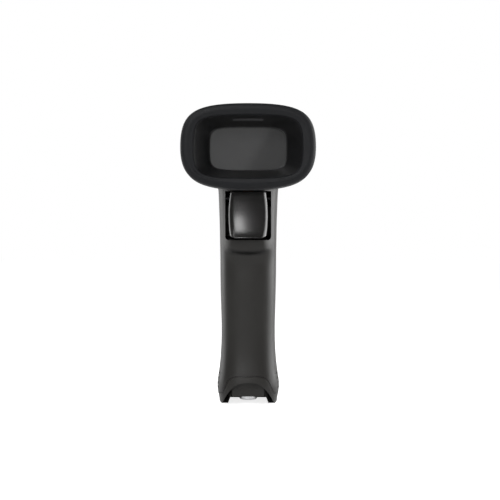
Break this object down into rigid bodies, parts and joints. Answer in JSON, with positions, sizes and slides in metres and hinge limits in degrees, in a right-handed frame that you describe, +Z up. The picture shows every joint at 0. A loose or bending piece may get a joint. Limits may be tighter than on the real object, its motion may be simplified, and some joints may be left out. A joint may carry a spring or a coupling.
{
  "type": "hand-held code scanner",
  "caption": "Pistol-grip code scanner with a rubber nose bumper round a recessed window, a trigger, and a battery foot held by a coin screw.",
  "frame": {"origin": "centre of the footprint at the foot's rim, which the scanner stands on", "axes": "+X across the head, -Y the way the nose looks, +Z up along the grip"},
  "size_m": [0.071, 0.1, 0.1619],
  "materials": {
    "grip_shell": "satin moulded plastic with a fine spark texture",
    "bumper_rubber": "matte rubber",
    "funnel_plastic": "matte black moulded plastic",
    "window_glass": "flat smoked window, polished",
    "frosted_bar": "frosted light bar",
    "trigger_plastic": "semi-gloss black moulded plastic",
    "foot_plastic": "satin moulded plastic",
    "coin_screw": "turned and plated",
    "steel": "plain steel",
    "brass": "turned brass",
    "gold_contact": "gold plated",
    "board_green": "solder mask",
    "chip_black": "moulded epoxy",
    "shield_tin": "tinned shield can",
    "seal_rubber": "soft black seal",
    "lens_clear": "polished lens",
    "lamp_body": "lamp body",
    "status_diffuser": "milky light guide",
    "cell_wrap": "shrink-wrapped power cell",
    "flex_film": "polyimide film",
    "lead_sleeve": "wire insulation",
    "inner_plastic": "moulded inner plastic"
  },
  "bodies": {
    "housing": {"front_shell": "grip_shell", "rear_shell": "grip_shell", "shell_screws": "steel", "nose_bumper": "bumper_rubber", "nose_bezel": "funnel_plastic", "nose_light_bar": "frosted_bar", "light_bar_led": "lamp_body", "window": "window_glass", "window_gasket": "seal_rubber", "engine_bracket": "inner_plastic", "scan_engine": "chip_black", "lens_barrel": "inner_plastic", "lens_glass": "lens_clear", "aimer_lens": "lens_clear", "illumination_leds": "lamp_body", "main_board": "board_green", "board_chips": "chip_black", "wireless_module": "shield_tin", "board_screws": "steel", "engine_flex": "flex_film", "beeper": "inner_plastic", "status_lens": "status_diffuser", "status_led": "lamp_body", "trigger_pin": "steel", "trigger_spring": "steel", "trigger_switch": "inner_plastic", "switch_board": "board_green", "switch_flex": "flex_film", "contact_board": "board_green", "battery_contacts": "gold_contact", "power_leads": "lead_sleeve", "screw_insert": "brass"},
    "trigger_lever": {"trigger": "trigger_plastic"},
    "switch_button": {"switch_plunger": "lamp_body"},
    "battery_pack": {"battery_cap": "foot_plastic", "charge_contacts": "gold_contact", "cap_seal": "seal_rubber", "cell_plate": "steel", "battery_cell": "cell_wrap"},
    "coin_screw": {"cap_screw": "coin_screw"}
  },
  "joints": [
    {"name": "trigger_pull", "type": "hinge", "parent": "housing", "child": "trigger_lever", "pos_m": [0, -0.0135, 0.114], "axis": [1, 0, 0], "range_deg": [0, 6], "stiffness_Nm_per_rad": 0.3, "springref_deg": -3.44, "deforming": ["trigger_spring"]},
    {"name": "switch_press", "type": "slide", "parent": "housing", "child": "switch_button", "axis": [0, 1, 0], "range_m": [0, 0.0012]},
    {"name": "battery_slide", "type": "slide", "parent": "housing", "child": "battery_pack", "axis": [0, 0, -1], "range_m": [0, 0.085]},
    {"name": "coin_screw_turn", "type": "hinge", "parent": "battery_pack", "child": "coin_screw", "pos_m": [0, -0.0105, 0.003], "axis": [0, 0, 1], "continuous": true}
  ],
  "couplings": [
    {"joint": "switch_press", "follows": "trigger_pull", "m_per_rad": 0.01}
  ]
}
